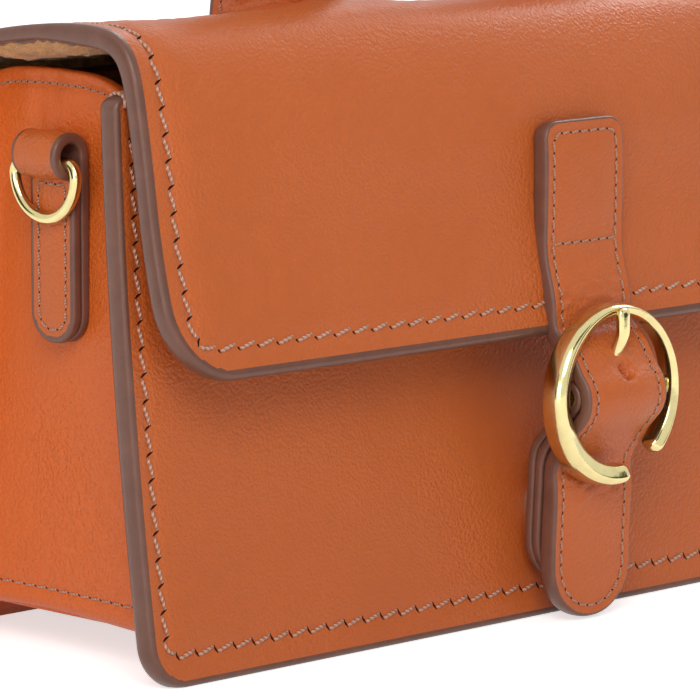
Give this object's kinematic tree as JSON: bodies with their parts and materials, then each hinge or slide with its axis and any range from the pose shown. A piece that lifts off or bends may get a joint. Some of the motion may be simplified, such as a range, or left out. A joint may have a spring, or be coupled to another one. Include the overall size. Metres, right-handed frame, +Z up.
{
  "type": "sling bag",
  "caption": "Small flap-over satchel-style sling bag in edge-painted leather, with a top handle, side D-rings and a round buckle over a magnetic snap.",
  "frame": {"origin": "middle of the bounding box at the level of the panels' feet, on which the bag stands", "axes": "+X to the bag's right side seen from the front, -Y to the front with the buckle, +Z up"},
  "size_m": [0.2, 0.0921, 0.168],
  "materials": {
    "panel_leather": "smooth tan leather, semi-gloss",
    "gusset_leather": "tan leather, fine grain",
    "flap_leather": "smooth tan leather, semi-gloss",
    "strap_leather": "tan leather, painted edges",
    "handle_leather": "creased tan leather",
    "painted_edge": "satin taupe edge paint",
    "suede": "golden-tan suede",
    "lining": "tan microfibre",
    "board": "plain board",
    "brass": "polished pale brass",
    "snap_metal": "satin nickel"
  },
  "bodies": {
    "bag": {"front_panel": "panel_leather", "back_panel": "panel_leather", "gusset_left": "gusset_leather", "gusset_right": "gusset_leather", "base_panel": "gusset_leather", "base_board": "board", "base_lining": "lining", "front_lining": "lining", "back_lining": "lining", "gusset_lining_left": "lining", "gusset_lining_right": "lining", "inner_pocket": "lining", "flap_anchor_band": "panel_leather", "snap_socket": "snap_metal", "snap_washer": "snap_metal", "d_ring_tab_left": "strap_leather", "d_ring_tab_right": "strap_leather"},
    "flap": {"flap_leather": "flap_leather", "flap_lining": "suede", "closure_strap": "strap_leather", "closure_strap_backing": "strap_leather", "buckle_tab": "strap_leather", "snap_stud": "snap_metal", "handle_cover_outer": "handle_leather", "handle_core": "painted_edge", "handle_cover_inner": "handle_leather", "handle_anchor_left": "snap_metal", "handle_anchor_right": "snap_metal"},
    "buckle_frame": {"buckle_ring": "brass"},
    "prong": {"buckle_prong": "brass"},
    "ring_left": {"d_ring_left": "brass"},
    "ring_right": {"d_ring_right": "brass"}
  },
  "joints": [
    {"name": "flap_hinge", "type": "hinge", "parent": "bag", "child": "flap", "pos_m": [0, 0.03012, 0.10335], "axis": [-1, 0, 0], "range_deg": [0, 150]},
    {"name": "buckle_swing", "type": "hinge", "parent": "flap", "child": "buckle_frame", "pos_m": [0.0008, -0.03882, 0.0418], "axis": [1, 0, 0], "range_deg": [-2, 2]},
    {"name": "prong_lift", "type": "hinge", "parent": "buckle_frame", "child": "prong", "pos_m": [0.0008, -0.03882, 0.0418], "axis": [1, 0, 0], "range_deg": [0, 4]},
    {"name": "d_ring_left_swing", "type": "hinge", "parent": "bag", "child": "ring_left", "pos_m": [-0.0952, 0.00372, 0.0884], "axis": [0, 1, 0], "range_deg": [0, 150]},
    {"name": "d_ring_right_swing", "type": "hinge", "parent": "bag", "child": "ring_right", "pos_m": [0.0952, 0.00372, 0.0884], "axis": [0, -1, 0], "range_deg": [0, 150]}
  ]
}
